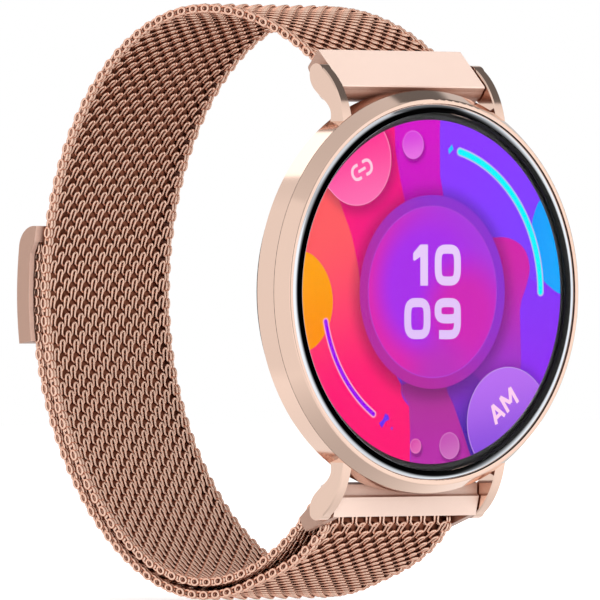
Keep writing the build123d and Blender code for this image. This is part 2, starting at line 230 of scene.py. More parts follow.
def makeSoftFill():
    # a high card that only lifts satin and matt surfaces
    lamp = bpy.data.lights.new("softFill", "AREA")
    lamp.shape = "DISK"
    lamp.size = studio["fillSize"]
    lamp.energy = studio["fill"]
    card = bpy.data.objects.new("softFill", lamp)
    card.location = (studio["fillAside"], frontY - studio["fillAhead"], studio["fillHigh"])
    card.rotation_euler = (-card.location).to_track_quat("-Z", "Y").to_euler()
    card.visible_glossy = False
    bpy.context.scene.collection.objects.link(card)


def newGroup(name, inputs, outputs):
    tree = bpy.data.node_groups.new(name, "ShaderNodeTree")
    kinds = {"value": "NodeSocketFloat", "colour": "NodeSocketColor", "vector": "NodeSocketVector"}
    for label, (kind, value) in inputs.items():
        socket = tree.interface.new_socket(label, in_out="INPUT", socket_type=kinds[kind])
        socket.default_value = value
    for label, kind in outputs.items():
        tree.interface.new_socket(label, in_out="OUTPUT", socket_type=kinds[kind])
    return tree, makeNode(tree, "NodeGroupInput").outputs, makeNode(tree, "NodeGroupOutput")


# the ranges below mask painted shade: side faces, level faces, the surface turning from the view, and hollows
# closed in by near surfaces
plating = {"cloudScale": 60.0, "endFaces": (0.75, 0.95), "levelFaces": (0.80, 0.95), "flanks": (0.20, 0.80),
           "closed": (0.25, 0.80), "sideShadeColour": (0.34, 0.16, 0.10)}


def makeGrainAndPaintedShade():
    # faint clouds in the plating and fine hairlines, with painted shade: darker in hollows, warmer and darker
    # where the surface turns from the view, and darker on side and level faces
    tree, given, out = newGroup("platingGrainAndPaintedShade", {
        "Tint": ("colour", (0.8, 0.6, 0.5, 1)), "Shade": ("colour", (0.5, 0.3, 0.25, 1)),
        "Hollow Shade": ("colour", (0.2, 0.06, 0.03, 1)), "Hollow Shade Depth": ("value", 0.0),
        "Hollow Shade Share": ("value", 0.0), "Flank Shade": ("colour", (0.6, 0.25, 0.15, 1)),
        "Flank Shade Share": ("value", 0.0), "Rough": ("value", 0.2), "Rough Spread": ("value", 0.05),
        "Side Shade": ("value", 0.0), "Grain Size": ("value", 400.0), "Stretch": ("vector", (1.0, 1.0, 1.0))},
        {"Color": "colour", "Roughness": "value", "Height": "value"})
    place = makeNode(tree, "ShaderNodeTexCoord")
    stretched = makeNode(tree, "ShaderNodeVectorMath", {0: place.outputs["Object"], 1: given["Stretch"]},
                         operation="MULTIPLY")
    fine = makeNode(tree, "ShaderNodeTexNoise", {"Vector": stretched.outputs[0], "Scale": given["Grain Size"],
                                                 "Detail": 3.0})
    broad = makeNode(tree, "ShaderNodeTexNoise", {"Vector": place.outputs["Object"],
                                                  "Scale": plating["cloudScale"], "Detail": 2.0})
    tone = mixColour(tree, broad.outputs[0], given["Tint"], given["Shade"])
    direction = makeNode(tree, "ShaderNodeSeparateXYZ", {0: place.outputs["Normal"]}).outputs
    # painted shade: faces turned to the sides, up or down take a darker colour
    side = rampNode(tree, mathNode(tree, "ABSOLUTE", direction["X"]), *plating["endFaces"])
    level = rampNode(tree, mathNode(tree, "ABSOLUTE", direction["Z"]), *plating["levelFaces"])
    darker = mathNode(tree, "MULTIPLY", mathNode(tree, "MAXIMUM", side, level), given["Side Shade"])
    tone = mixColour(tree, darker, tone, plating["sideShadeColour"])
    # painted shade: warmer and darker where the surface turns from the view
    turnedAway = makeNode(tree, "ShaderNodeLayerWeight", {"Blend": 0.5}).outputs["Facing"]
    flank = rampNode(tree, turnedAway, *plating["flanks"])
    tone = mixColour(tree, mathNode(tree, "MULTIPLY", flank, given["Flank Shade Share"]), tone, given["Flank Shade"])
    # painted shade: darker in hollows closed in by near surfaces
    hollow = makeNode(tree, "ShaderNodeAmbientOcclusion", {"Distance": given["Hollow Shade Depth"]}, samples=6)
    closed = rampNode(tree, hollow.outputs["AO"], *plating["closed"], start=1.0, end=0.0)
    tone = mixColour(tree, mathNode(tree, "MULTIPLY", closed, given["Hollow Shade Share"]), tone, given["Hollow Shade"])
    swing = mathNode(tree, "SUBTRACT", fine.outputs[0], 0.5)
    rough = mathNode(tree, "MULTIPLY_ADD", swing, given["Rough Spread"], given["Rough"])
    tree.links.new(tone, out.inputs["Color"])
    tree.links.new(rough, out.inputs["Roughness"])
    tree.links.new(fine.outputs[0], out.inputs["Height"])
    return tree


def dialPlace(tree):
    # millimetres from the dial's centre, x to the right and z up
    place = makeNode(tree, "ShaderNodeTexCoord").outputs["Object"]
    return makeNode(tree, "ShaderNodeVectorMath", {0: place, 1: (1 / mm, 0.0, 1 / mm)},
                    operation="MULTIPLY").outputs[0]


def makeGlowFade():
    # a colour that runs from one end of a line on the dial to the other
    tree, given, out = newGroup("glowFade", {
        "First": ("colour", (1, 0, 0, 1)), "Second": ("colour", (0, 0, 1, 1)),
        "Start": ("vector", (0.0, 0.0, 0.0)), "End": ("vector", (1.0, 0.0, 0.0))}, {"Color": "colour"})

    def vectors(operation, first, second):
        return makeNode(tree, "ShaderNodeVectorMath", {0: first, 1: second}, operation=operation).outputs

    line = vectors("SUBTRACT", given["End"], given["Start"])[0]
    reach = vectors("SUBTRACT", dialPlace(tree), given["Start"])[0]
    along = vectors("DOT_PRODUCT", reach, line)["Value"]
    share = mathNode(tree, "DIVIDE", along, vectors("DOT_PRODUCT", line, line)["Value"])
    soft = rampNode(tree, share, 0.0, 1.0, smooth=True)
    tree.links.new(mixColour(tree, soft, given["First"], given["Second"]), out.inputs["Color"])
    return tree


def makeHalo():
    # a round glow or shadow on the dial, laid over the colour that comes in
    tree, given, out = newGroup("dialHalo", {
        "Under": ("colour", (0, 0, 0, 1)), "Over": ("colour", (1, 1, 1, 1)),
        "Centre": ("vector", (0.0, 0.0, 0.0)), "Inner": ("value", 9.0), "Outer": ("value", 12.0),
        "Strength": ("value", 0.5)}, {"Color": "colour"})
    away = makeNode(tree, "ShaderNodeVectorMath", {0: dialPlace(tree), 1: given["Centre"]},
                    operation="DISTANCE").outputs["Value"]
    fade = rampNode(tree, away, given["Inner"], given["Outer"], start=given["Strength"], end=0.0, smooth=True)
    tree.links.new(mixColour(tree, fade, given["Under"], given["Over"]), out.inputs["Color"])
    return tree


def placeGroup(tree, group, inputs):
    node = tree.nodes.new("ShaderNodeGroup")
    node.node_tree = group
    for name, value in inputs.items():
        node.inputs[name].default_value = value
    return node


def plainMaterial(name, colour, rough=0.5, metal=0.0, coat=0.0, emission=None, strength=0.0):
    material = bpy.data.materials.new(name)
    material.use_nodes = True
    shader = material.node_tree.nodes["Principled BSDF"]
    shader.inputs["Base Color"].default_value = (*colour, 1)
    shader.inputs["Roughness"].default_value = rough
    shader.inputs["Metallic"].default_value = metal
    shader.inputs["Coat Weight"].default_value = coat
    if emission:
        shader.inputs["Emission Color"].default_value = (*emission, 1)
        shader.inputs["Emission Strength"].default_value = strength
    return material


def metalMaterial(name, tint, shade, rough, spread, metal=1.0, grainAndShade=None):
    material = plainMaterial(name, tint, rough, metal=metal)
    tree = material.node_tree
    shader = tree.nodes["Principled BSDF"]
    group = placeGroup(tree, grainAndShadeGroup, {"Tint": (*tint, 1), "Shade": (*shade, 1), "Rough": rough,
                                          "Rough Spread": spread, **(grainAndShade or {})})
    tree.links.new(group.outputs["Color"], shader.inputs["Base Color"])
    tree.links.new(group.outputs["Roughness"], shader.inputs["Roughness"])
    lift = makeNode(tree, "ShaderNodeBump", {"Strength": 0.02, "Distance": 0.02 * mm,
                                             "Height": group.outputs["Height"]})
    tree.links.new(lift.outputs[0], shader.inputs["Normal"])
    return material


grainAndShadeGroup = makeGrainAndPaintedShade()
glowFade = makeGlowFade()
dialHalo = makeHalo()
roseGold = metalMaterial("polishedRoseGold", (0.93, 0.68, 0.56), (0.90, 0.64, 0.52), 0.10, 0.04)
# satin fittings, with painted shade on side and level faces and in hollows
roseFitting = metalMaterial("satinRoseGold", (0.98, 0.75, 0.65), (0.96, 0.72, 0.61), 0.38, 0.05, metal=0.35,
                            grainAndShade={"Side Shade": 0.75, "Stretch": (0.1, 1.0, 1.0),
                                   "Hollow Shade": (0.30, 0.09, 0.04, 1), "Hollow Shade Depth": 0.0035,
                                   "Hollow Shade Share": 0.9})
# plated wire, with painted shade in its hollows and where it turns from the view
roseWire = metalMaterial("rosePlatedWire", (1.0, 0.73, 0.59), (1.0, 0.66, 0.51), 0.18, 0.08, metal=0.85,
                         grainAndShade={"Grain Size": 900.0, "Hollow Shade": (0.20, 0.05, 0.025, 1), "Hollow Shade Depth": 0.0007,
                                "Hollow Shade Share": 0.5, "Flank Shade": (0.92, 0.36, 0.20, 1), "Flank Shade Share": 1.0})
wireShade = metalMaterial("shadedWire", (0.26, 0.09, 0.05), (0.20, 0.07, 0.04), 0.45, 0.08)
barSteel = metalMaterial("springBarSteel", (0.62, 0.60, 0.58), (0.55, 0.53, 0.51), 0.25, 0.08)
sealBlack = plainMaterial("blackSeal", (0.01, 0.01, 0.01), 0.7)
backShell = plainMaterial("backShell", (0.035, 0.035, 0.038), 0.35, coat=0.3)
windowDark = plainMaterial("sensorWindow", (0.008, 0.008, 0.012), 0.06, coat=1.0)
goldFlash = metalMaterial("contactGold", (0.95, 0.72, 0.32), (0.88, 0.64, 0.26), 0.20, 0.05)
panelBlack = plainMaterial("panelBlack", (0.001, 0.001, 0.001), 0.25)


def glassMaterial():
    material = plainMaterial("coverGlass", (1, 1, 1), 0.0)
    shader = material.node_tree.nodes["Principled BSDF"]
    shader.inputs["Transmission Weight"].default_value = 1.0
    shader.inputs["IOR"].default_value = 1.5
    shader.inputs["Specular Tint"].default_value = (0.01, 0.01, 0.01, 1)
    return material


def dressNodes():
    finishes = {"case_metal": roseGold, "fitting_metal": roseFitting, "band_metal": roseWire,
                "bar_steel": barSteel, "glass": glassMaterial(), "display": panelBlack, "seal": sealBlack,
                "back_plastic": backShell, "window": windowDark, "contact": goldFlash, "magnet": barSteel}
    plain = plainMaterial("innerPlastic", (0.05, 0.05, 0.05), 0.5)
    slots = {row["node"]: row["material_slot"] for row in frame["record"]["subparts"]}
    for name, node in frame["nodes"].items():
        node.data.materials.clear()
        node.data.materials.append(finishes.get(slots.get(name), plain))


# mm: depth behind the bezel's edge, height of one layer, thickness of a plate, radius where the picture stops
dial = {"deep": 1.21, "layerStep": 0.0024, "plate": 0.002, "clip": 18.9, "borderLayer": 40, "rimInset": 0.05}


def bendBetween(before, start, end, after, share):
    # a point of the smooth curve from start to end, with the points on either side of them
    return 0.5 * ((2 * start) + (end - before) * share
                  + (2 * before - 5 * start + 4 * end - after) * share ** 2
                  + (3 * start - before - 3 * end + after) * share ** 3)


def dialY(layer):
    return frontY + (dial["deep"] - layer * dial["layerStep"]) * mm


def smoothLoop(points, steps=10):
    # closed smooth outline through a few points
    count = len(points)
    outline = []
    for i in range(count):
        corners = [Vector(points[(i + k) % count]) for k in (-1, 0, 1, 2)]
        outline += [bendBetween(*corners, step / steps) for step in range(steps)]
    return outline


def clipToDial(points):
    # points outside the picture's edge are drawn in to it
    limit = dial["clip"]
    clipped = []
    for x, z in points:
        away = math.hypot(x, z)
        clipped.append((x * limit / away, z * limit / away) if away > limit else (x, z))
    return clipped


def addStrip(build, first, second, deep, closed):
    # a closed thin strip between two paths of equal length, the first on the left going forwards
    back = deep + dial["plate"] * mm
    rows = [[build.verts.new((x * mm, y, z * mm)) for x, z in path]
            for path, y in ((first, deep), (second, deep), (first, back), (second, back))]
    count = len(first)
    for i in range(0 if closed else 1, count):
        for one, other in ((rows[1], rows[0]), (rows[2], rows[3]), (rows[0], rows[2]), (rows[3], rows[1])):
            build.faces.new((one[i - 1], one[i], other[i], other[i - 1]))
    if not closed:
        for i, turned in ((0, 1), (count - 1, -1)):
            corners = [rows[0][i], rows[1][i], rows[3][i], rows[2][i]]
            build.faces.new(corners[::turned])


def addPlate(build, outline, deep):
    # a closed thin plate of any outline
    area = sum(outline[i - 1][0] * point[1] - point[0] * outline[i - 1][1] for i, point in enumerate(outline))
    turned = outline if area > 0 else outline[::-1]
    front = [build.verts.new((x * mm, deep, z * mm)) for x, z in turned]
    back = [build.verts.new((x * mm, deep + dial["plate"] * mm, z * mm)) for x, z in turned]
    build.faces.new(front)
    build.faces.new(back[::-1])
    for i in range(len(turned)):
        build.faces.new((front[i - 1], back[i - 1], back[i], front[i]))


def flatPiece(name, outlines, layer, material, strokes=(), wide=1.0):
    # thin plates facing the front: outlines are closed lists of (x, z) in mm, strokes are (path, closed)
    build = bmesh.new()
    for outline in outlines:
        addPlate(build, outline, dialY(layer))
    for path, closed in strokes:
        addStrip(build, *strokeSides(path, wide, closed), dialY(layer), closed)
    bmesh.ops.triangulate(build, faces=[face for face in build.faces if len(face.verts) > 4])
    bmesh.ops.recalc_face_normals(build, faces=build.faces[:])
    mesh = bpy.data.meshes.new(name)
    build.to_mesh(mesh)
    build.free()
    finishPiece(pieceFromMesh(name, mesh, material, smooth=False), "case")


def discOutline(x, z, radius, count=96):
    return [(x + radius * math.cos(2 * math.pi * i / count), z + radius * math.sin(2 * math.pi * i / count))
            for i in range(count)]


def strokeSides(points, width, closed=False):
    # both sides of a stroke of even width along a path
    points = [Vector(p) for p in points]
    count = len(points)
    left, right = [], []
    for i, point in enumerate(points):
        before = points[(i - 1) % count] if closed or i else point
        after = points[(i + 1) % count] if closed or i < count - 1 else point
        along = (after - before).normalized()
        aside = Vector((-along.y, along.x)) * width / 2
        left.append(tuple(point + aside))
        right.append(tuple(point - aside))
    return left, right


def arcPoints(radius, start, end, count=60):
    # about the dial's centre, with clockwise angles from 12 o'clock in degrees
    angles = [math.radians(start + (end - start) * i / count) for i in range(count + 1)]
    return [(radius * math.sin(a), radius * math.cos(a)) for a in angles]


def srgb(code):
    # linear colour from a six-digit hex colour, by the sRGB formula
    parts = [int(code[i:i + 2], 16) / 255 for i in (0, 2, 4)]
    return tuple(p / 12.92 if p <= 0.04045 else ((p + 0.055) / 1.055) ** 2.4 for p in parts)


def glowMaterial(name, first, second=None, start=(0, 0), end=(0, 1), halos=()):
    # halos are (colour, centre, inner, outer, strength), laid over the fade in order
    colour = srgb(first)
    material = plainMaterial(name, (0, 0, 0), 1.0, emission=colour, strength=1.0)
    tree = material.node_tree
    shader = tree.nodes["Principled BSDF"]
    shader.inputs["Specular IOR Level"].default_value = 0.0
    fade = placeGroup(tree, glowFade, {"First": (*colour, 1), "Second": (*srgb(second or first), 1),
                                       "Start": (start[0], 0, start[1]), "End": (end[0], 0, end[1])})
    light = fade.outputs["Color"]
    for over, centre, inner, outer, strength in halos:
        halo = placeGroup(tree, dialHalo, {"Over": (*srgb(over), 1), "Centre": (centre[0], 0, centre[1]),
                                           "Inner": inner, "Outer": outer, "Strength": strength})
        tree.links.new(light, halo.inputs["Under"])
        light = halo.outputs["Color"]
    tree.links.new(light, shader.inputs["Emission Color"])
    return material


orangeDisc = {"centre": (-19.75, -1.07), "radius": 5.72}
dialBlobs = {   # name: (layer, colours, gradient line, outline points in mm, or the name of a round one)
    "glowViolet": (0, ("8a34ff", "7c3cff"), ((0, 18), (18, 0)), "wholeDial"),
    "glowStripe": (1, ("d400c8", "c800c0"), ((0, 18), (0, 8)),
                   [(-6.2, 19.2), (0.6, 19.2), (0.7, 15), (1.1, 12.4), (1.8, 9), (2, 5), (-4, 4), (-6, 10)]),
    "glowHotPink": (2, ("ff0a78", "ee0080"), ((-14, 12), (-5, 8)),
                    [(-16, 14), (-10, 19), (-5.8, 18.6), (-5.2, 15), (-4.5, 11.8), (-3.6, 8), (-4, 2),
                     (-12, 0)]),
    "glowCoral": (3, ("ff5a60", "ff0a72"), ((-14, 8), (-8, -9)),
                  [(-19.6, 6), (-14.9, 11.2), (-12, 7.3), (-10.6, 3.2), (-9, -4), (-4.4, -9.8), (-2.6, -13),
                   (-2.4, -16), (-3, -19), (-11, -17), (-17, -9), (-19.6, 0)]),
    "glowLowerRight": (4, ("8430fa", "8e2af2"), ((14, 4), (14, -12)),
                       [(12.7, 2.6), (14.5, 1.2), (19.5, 1), (19.5, -8), (14, -14), (11, -12), (12, -6),
                        (12.1, -2)]),
    "glowMagentaBlob": (5, ("d216a8", "9c30cc"), ((8, 5), (8, -10)),
                        [(4, 5), (9, 5.8), (11.4, 5.6), (13.2, 4.5), (13.9, 2.6), (13.4, 0.6), (12.5, -1.5),
                         (12.2, -4), (12.5, -8.5), (9, -15), (3, -19), (-3, -19), (-2.4, -16), (-2.6, -13),
                         (-4.4, -9.8), (0, -2)]),
    "glowBottomBand": (6, ("b02a98", "b82aa8"), ((0, -10), (0, -18)),
                       [(-4.3, -9.9), (2.1, -9.9), (3.1, -12.2), (4.4, -15), (6, -18), (2, -19), (-3, -19),
                        (-2.4, -16), (-2.6, -13)]),
    "glowIndigo": (7, ("8c2cc4", "5226b4"), ((2, -9), (5.5, -15)),
                   [(2.1, -9.9), (5, -8.6), (7, -10), (6, -14), (7, -18), (5.6, -17.6), (4.4, -15),
                    (3.1, -12.2)]),
    "glowAzure": (8, ("009cff", "0aa6ff"), ((14, 4), (18, 4)),
                  [(15.6, 9.9), (14.5, 8.2), (14.2, 6.4), (14.4, 4.2), (15.2, 2.2), (16.6, 0.7), (18.9, 0.05),
                   (19.5, 5), (17.4, 8.6)]),
    "glowOrange": (9, ("ffa000", "ff9200"), ((-17, 3), (-15, -5)), "orangeDisc"),
}
softDiscs = {   # name: centre, radius, first and second colour, gradient line, rim colour
    "pinkDisc": ((-10.75, 14.0), 4.9, ("ff3092", "ff70b4"), ((-11, 17), (-9, 8)), "ff92c4"),
    "violetDisc": ((10.8, -13.9), 5.9, ("b86cf2", "7c44d8"), ((10, -8), (12, -19)), "c294ec"),
    "lilacDot": ((-2.75, 15.6), 1.5, ("d83cdc", "e870e4"), ((-3, 17), (-2.5, 14)), "ec80ee"),
    "smallDot": ((-2.4, -16.35), 0.8, ("d84aa8", "e468b8"), ((-3, -15.6), (-2, -17)), "ea80c2"),
    "pinkDot": ((2.4, -16.35), 1.42, ("c452b4", "d070c0"), ((2, -15), (3, -17.8)), "dc8cd0"),
}
softRims = {"limit": 18.6, "gap": 1.2, "wide": 0.1, "narrow": 0.07, "smallest": 2}
centreDisc = {"radius": 9.15, "ring": 10.3, "shadow": ("280038", (0.1, -0.3), 9.9, 12.4, 0.5)}


discShadow = {"colour": "300040", "aside": 0.2, "below": 0.35, "inner": 0.92, "outer": 1.28, "strength": 0.42}


def shadowsOnDial():
    # soft shadows of the discs on what lies under them, as halos
    shadows = [(discShadow["colour"], (x + discShadow["aside"], z - discShadow["below"]),
                radius * discShadow["inner"], radius * discShadow["outer"], discShadow["strength"])
               for (x, z), radius, *rest in softDiscs.values()]
    return shadows + [centreDisc["shadow"]]


def makeDialBackground():
    shadows = shadowsOnDial()
    for name, (layer, colours, line, points) in dialBlobs.items():
        if points == "wholeDial":
            outline = discOutline(0, 0, dial["clip"], 180)
        elif points == "orangeDisc":
            outline = clipToDial(discOutline(*orangeDisc["centre"], orangeDisc["radius"]))
        else:
            outline = clipToDial(smoothLoop(points))
        flatPiece(name, [outline], layer, glowMaterial(name, *colours, *line, halos=shadows))


def makeSoftDiscs():
    for name, (centre, radius, colours, line, rim) in softDiscs.items():
        flatPiece(name, [clipToDial(discOutline(*centre, radius))], 18, glowMaterial(name, *colours, *line))
        # the rim is the part of the circle inside the picture, begun where the picture's edge cuts it
        edge = [p for p in discOutline(*centre, radius - dial["rimInset"])
                if math.hypot(*p) < softRims["limit"]]
        start = max(range(len(edge)), key=lambda i: math.dist(edge[i], edge[i - 1]))
        path = edge[start:] + edge[:start]
        whole = math.dist(path[0], path[-1]) < softRims["gap"]
        flatPiece(name + "Rim", [], 20, glowMaterial(name + "Rim", rim), strokes=[(path, whole)],
                  wide=softRims["wide"] if radius > softRims["smallest"] else softRims["narrow"])


def makeCentreDisc():
    flatPiece("centreRing", [discOutline(0, 0, centreDisc["ring"])], 25,
              glowMaterial("centreRing", "8a2cd0", "b4229e", (7, 6), (-7, -5)))
    face = glowMaterial("centreFace", "dc1aac", "a832e0", (-7, -1), (6, 7), halos=(
        ("a626ea", (-0.6, 0.6), 5.0, 9.0, 1.0), ("d01ab6", (4.6, -2.2), 2.5, 7.6, 1.0),
        ("b42cbc", (1.0, -9.5), 1.0, 6.5, 0.85)))
    flatPiece("centreFace", [discOutline(0, 0, centreDisc["radius"])], 27, face)
    flatPiece("centreRim", [], 30, glowMaterial("centreRim", "b044d8"), wide=0.09,
              strokes=[(discOutline(0, 0, centreDisc["radius"] - dial["rimInset"], 180), True)])


digits = {"high": 4.36, "wide": 3.70, "stroke": 0.96, "top": (0.32, 2.85), "low": (0.0, -2.83), "apart": 4.35,
          "colours": ("e9cdfb", "e2c2fa")}


def roundedLoop(cx, cz, wide, high, power=3.6, count=64):
    # superellipse centre line of a numeral
    loop = []
    for i in range(count):
        a = 2 * math.pi * i / count
        c, s = math.cos(a), math.sin(a)
        loop.append((cx + wide / 2 * math.copysign(abs(c) ** (2 / power), c),
                     cz + high / 2 * math.copysign(abs(s) ** (2 / power), s)))
    return loop


def zeroPath(cx, cz):
    w, h, s = digits["wide"], digits["high"], digits["stroke"]
    return [(roundedLoop(cx, cz, w - s, h - s), True)]


def oneShape(cx, cz):
    # the upright and its flag
    h, s = digits["high"], digits["stroke"] * 1.12
    top = cz + h / 2
    stem = [(cx, top), (cx + s, top), (cx + s, cz - h / 2), (cx, cz - h / 2)]
    flag = [(cx + s * 0.5, top), (cx, top), (cx - s * 0.95, top - s * 0.85), (cx - s * 0.95, top - s * 1.55),
            (cx - s * 0.75, top - s * 1.6), (cx + s * 0.5, top - s * 0.95)]
    return [stem, flag]


def ninePaths(cx, cz):
    # the closed bowl and the open tail
    w, h, s = digits["wide"], digits["high"], digits["stroke"]
    bowlHigh = h * 0.62
    bowl = roundedLoop(cx, cz + h / 2 - bowlHigh / 2, w - s, bowlHigh - s, power=3.2)
    right = cx + (w - s) / 2
    low = cz - (h - s) / 2
    tail = [(right, cz + h * 0.2), (right, low + 1.0), (right - 0.25, low + 0.3), (right - 0.85, low),
            (cx - w / 2 + s * 0.65, low)]
    return [(bowl, True)], [(smoothOpen(tail), False)]


def smoothOpen(points, steps=8):
    # open smooth line through a few points
    ends = [Vector(point) for point in (points[0], *points, points[-1])]
    line = []
    for i in range(1, len(ends) - 2):
        line += [bendBetween(*ends[i - 1:i + 3], step / steps) for step in range(steps)]
    return line + [ends[-1]]


def makeDigits():
    half = digits["apart"] / 2
    pale = glowMaterial("numeralLilac", *digits["colours"], (0, 5), (0, -5))
    (tx, tz), (lx, lz) = digits["top"], digits["low"]
    wide = digits["stroke"]
    bowl, tail = ninePaths(lx + half - 0.05, lz)
    flatPiece("hourOne", oneShape(tx - half + 0.1, tz)[:1], 34, pale)
    flatPiece("hourOneFlag", oneShape(tx - half + 0.1, tz)[1:], 34.5, pale)
    flatPiece("hourZero", [], 34, pale, zeroPath(tx + half - 0.35, tz), wide)
    flatPiece("minuteZero", [], 34, pale, zeroPath(lx - half, lz), wide)
    flatPiece("minuteNine", [], 34, pale, bowl, wide)
    flatPiece("minuteNineTail", [], 34.5, pale, tail, wide)


arcs = {"radius": 15.4, "layer": 36, "linkCentre": (-10.0, 12.9), "linkTurn": 25}


def strokedArc(name, start, end, core, edge, coreWide, edgeWide, layer):
    # a bright core on a wider pale edge, both with round ends
    for part, colour, wide, lift in (("Edge", edge, edgeWide, 0), ("Core", core, coreWide, 1)):
        path = arcPoints(arcs["radius"], start, end)
        material = glowMaterial(name + part, colour)
        flatPiece(name + part, [], layer + lift, material, [(path, False)], wide)
        caps = [discOutline(*path[0], wide / 2, 24), discOutline(*path[-1], wide / 2, 24)]
        flatPiece(name + part + "Caps", caps, layer + lift + 0.2, material)


def turned(points, centre, angle, size=1.0):
    # scaled, turned by degrees and moved to a centre
    a = math.radians(angle)
    return [(centre[0] + size * (x * math.cos(a) - z * math.sin(a)),
             centre[1] + size * (x * math.sin(a) + z * math.cos(a))) for x, z in points]


def makeArcsAndIcons():
    layer = arcs["layer"]
    strokedArc("cyanArc", 14.6, 90.0, "00f4ff", "b0b8f0", 0.62, 0.96, layer)
    strokedArc("purpleArc", 258.3, 213.0, "9c00ee", "ff9cc8", 0.46, 0.80, layer)
    bolt = [(0.1, 0.9), (-0.55, -0.15), (-0.05, -0.1), (-0.2, -0.9), (0.6, 0.2), (0.08, 0.15)]
    flatPiece("boltIcon", [turned(bolt, (2.55, 15.15), -12, 0.62)], layer, glowMaterial("boltIcon", "20c0ff"))
    mark = [(-0.55, -0.26), (0.1, -0.16), (0.5, -0.3), (0.62, 0.05), (0.5, 0.34), (0.0, 0.16), (-0.5, 0.22)]
    flatPiece("stepIcon", [turned(mark, (-6.9, -13.65), 42, 1.35)], layer, glowMaterial("stepIcon", "6a2cf0"))
    flatPiece("stepDot", [discOutline(-5.8, -14.45, 0.16, 16)], layer, glowMaterial("stepDot", "a030c8"))
    pale = glowMaterial("linkIcon", "ffcbe2")
    for side in (1, -1):
        hook = [(side * x, z) for x, z in ((0.35, 0.72), (0.85, 0.72), (1.25, 0.5), (1.42, 0.0), (1.25, -0.5),
                                           (0.85, -0.72), (0.35, -0.72))]
        path = turned(smoothOpen(hook), arcs["linkCentre"], arcs["linkTurn"])
        flatPiece("linkHalf" + ("Right" if side > 0 else "Left"), [], layer, pale, [(path, False)], 0.34)
    bar = turned([(-0.55, 0), (0.55, 0)], arcs["linkCentre"], arcs["linkTurn"])
    flatPiece("linkBar", [], layer, pale, [(bar, False)], 0.32)


noonLetters = {"centre": (10.05, -12.15), "turn": 37, "wide": 0.42, "strokes": {
    "letterA": ([(-1.95, -1), (-1.2, 1)], [(-1.2, 1), (-0.45, -1)], [(-1.65, -0.42), (-0.75, -0.42)]),
    "letterM": ([(0.2, -1), (0.2, 1)], [(0.2, 1), (1.05, -0.4)], [(1.05, -0.4), (1.9, 1)],
                [(1.9, 1), (1.9, -1)])}}


def makeNoonLetters():
    # the two letters of the morning half of the day, drawn from straight strokes
    pale = glowMaterial("noonLetters", "ffd0f2")
    for name, lines in noonLetters["strokes"].items():
        for number, line in enumerate(lines):
            path = turned(line, noonLetters["centre"], noonLetters["turn"])
            flatPiece(name + "Stroke" + str(number + 1), [], arcs["layer"] + 0.5 * number, pale,
                      [(path, False)], noonLetters["wide"])


# mm: the printed border, then the ring under the glass's curved edge, and where its mirror rim and its
# painted reflection brighten
border = {"inner": 18.25, "outer": 18.92, "thick": 0.004, "edgeInner": 19.02, "edgeOuter": 19.97,
          "edgeThick": 0.006, "edgeSteps": 14, "lift": 0.012, "rimFrom": (19.5, 19.8),
          "shoulder": (18.75, 19.15), "grazingSheen": (0.36, 0.56)}
# mm: radius and depth of three points of the cover glass's curved edge, from its flat to its rim
glassCurve = {"flat": (17.9, -0.4), "mid": (19.1, -0.28), "rim": (19.95, 0.15)}


def ringPiece(name, rows, material, count=240):
    # closed ring about the dial's axis, its section given as (radius, depth) rows in mm
    build = bmesh.new()
    loops = []
    for radius, deep in rows:
        loops.append([build.verts.new((x * mm, frontY + deep * mm, z * mm))
                      for x, z in discOutline(0, 0, radius, count)])
    for first, second in zip(loops, loops[1:] + loops[:1]):
        for i in range(count):
            build.faces.new((first[i - 1], first[i], second[i], second[i - 1]))
    bmesh.ops.recalc_face_normals(build, faces=build.faces[:])
    mesh = bpy.data.meshes.new(name)
    build.to_mesh(mesh)
    build.free()
    return pieceFromMesh(name, mesh, material)


def glassSurface(radius):
    # depth of the cover glass's front at a radius on its curved edge, on the circle through three points
    flat, mid, rim = (Vector(point) for point in glassCurve.values())
    across = 2 * (flat.x * (mid.y - rim.y) + mid.x * (rim.y - flat.y) + rim.x * (flat.y - mid.y))
    centre = Vector((flat.length_squared * (mid.y - rim.y) + mid.length_squared * (rim.y - flat.y)
                     + rim.length_squared * (flat.y - mid.y),
                     flat.length_squared * (rim.x - mid.x) + mid.length_squared * (flat.x - rim.x)
                     + rim.length_squared * (mid.x - flat.x))) / across
    reach = (flat - centre).length
    return centre.y - math.sqrt(max(reach ** 2 - (radius - centre.x) ** 2, 0))


def glassEdgeMaterial():
    # the printed edge under the glass: black inside, a mirror ring at the rim that stands in for the
    # reflection off the glass's curved edge, and a painted reflection on the shoulder where it is seen nearly
    # edge-on
    material = plainMaterial("glassEdgeMirrorAndSheen", (0.7, 0.7, 0.7), 0.06, metal=1.0)
    tree = material.node_tree
    away = makeNode(tree, "ShaderNodeVectorMath", {0: dialPlace(tree)}, operation="LENGTH").outputs["Value"]
    turnedAway = makeNode(tree, "ShaderNodeLayerWeight", {"Blend": 0.5}).outputs["Facing"]
    rim, onShoulder, grazingSheen = (rampNode(tree, value, *border[name], smooth=True) for value, name in
                                ((away, "rimFrom"), (away, "shoulder"), (turnedAway, "grazingSheen")))
    bright = mathNode(tree, "MAXIMUM", rim, mathNode(tree, "MULTIPLY", onShoulder, grazingSheen))
    colour = mixColour(tree, bright, (0.0, 0.0, 0.0), (0.86, 0.90, 0.96))
    tree.links.new(colour, tree.nodes["Principled BSDF"].inputs["Base Color"])
    return material


